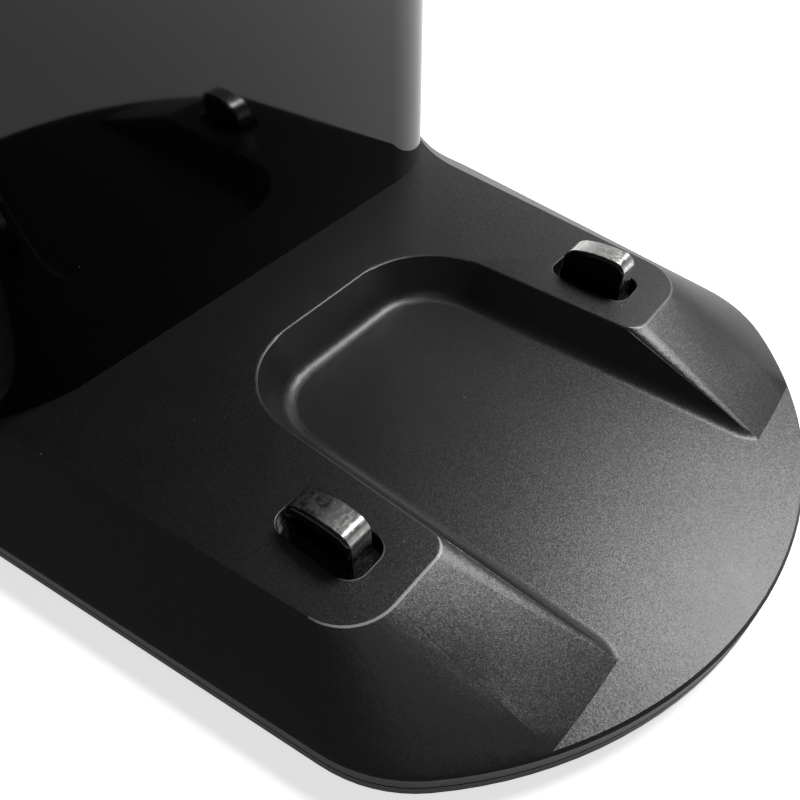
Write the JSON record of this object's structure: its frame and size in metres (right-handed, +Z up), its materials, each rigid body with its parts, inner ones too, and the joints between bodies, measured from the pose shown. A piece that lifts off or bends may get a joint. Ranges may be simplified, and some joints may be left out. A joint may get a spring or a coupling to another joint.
{
  "type": "robot vacuum charging dock",
  "caption": "Low black charging base with ramped pads, a caster recess and sprung metal contacts, in front of a glossy upright tower with a mains inlet at the back.",
  "frame": {"origin": "on the floor, under the middle of the dock's plan box", "axes": "+X to the dock's right seen from the front, +Y to the back, +Z up"},
  "size_m": [0.152, 0.1536, 0.098],
  "materials": {
    "base_plastic": "fine spark-eroded grain",
    "tower_gloss": "polished",
    "contact_metal": "nickel plated, worn",
    "contact_plastic": "polished",
    "spring_steel": "drawn wire",
    "terminal_brass": "plain",
    "lead_red": "satin",
    "lead_black": "satin",
    "lead_white": "satin",
    "board_green": "solder mask",
    "component_black": "moulded epoxy",
    "transformer_core": "sintered ferrite and tape",
    "capacitor_sleeve": "shrink sleeve",
    "emitter_lens": "tinted",
    "lamp_lens": "frosted",
    "pipe_clear": "frosted",
    "pin_metal": "plated",
    "foot_rubber": "matte",
    "screw_steel": "black zinc"
  },
  "bodies": {
    "dock": {"base_cover": "base_plastic", "bottom_tray": "base_plastic", "tower_hood": "tower_gloss", "rear_cover": "base_plastic", "contact_spring_left": "spring_steel", "contact_spring_right": "spring_steel", "contact_terminal_left": "terminal_brass", "contact_terminal_right": "terminal_brass", "contact_lead_left": "lead_black", "contact_lead_right": "lead_red", "power_inlet": "component_black", "inlet_pins": "pin_metal", "mains_leads": "lead_white", "power_board": "board_green", "transformer": "transformer_core", "bulk_capacitor": "capacitor_sleeve", "output_capacitors": "capacitor_sleeve", "line_choke": "component_black", "bridge_rectifier": "component_black", "fuse": "component_black", "signal_board": "board_green", "infrared_emitters": "emitter_lens", "status_led": "lamp_lens", "light_pipe": "pipe_clear", "signal_lead": "lead_white", "rubber_feet": "foot_rubber", "tray_screws": "screw_steel", "tower_screws": "screw_steel", "rear_screws": "screw_steel", "board_screws": "screw_steel"},
    "contact_left": {"contact_core_left": "contact_plastic", "contact_strip_left": "contact_metal"},
    "contact_right": {"contact_core_right": "contact_plastic", "contact_strip_right": "contact_metal"}
  },
  "joints": [
    {"name": "press_left", "type": "slide", "parent": "dock", "child": "contact_left", "axis": [0, 0, -1], "range_m": [0, 0.004], "stiffness_N_per_m": 400, "springref_m": -0.003, "deforming": ["contact_spring_left"]},
    {"name": "press_right", "type": "slide", "parent": "dock", "child": "contact_right", "axis": [0, 0, -1], "range_m": [0, 0.004], "stiffness_N_per_m": 400, "springref_m": -0.003, "deforming": ["contact_spring_right"]}
  ]
}
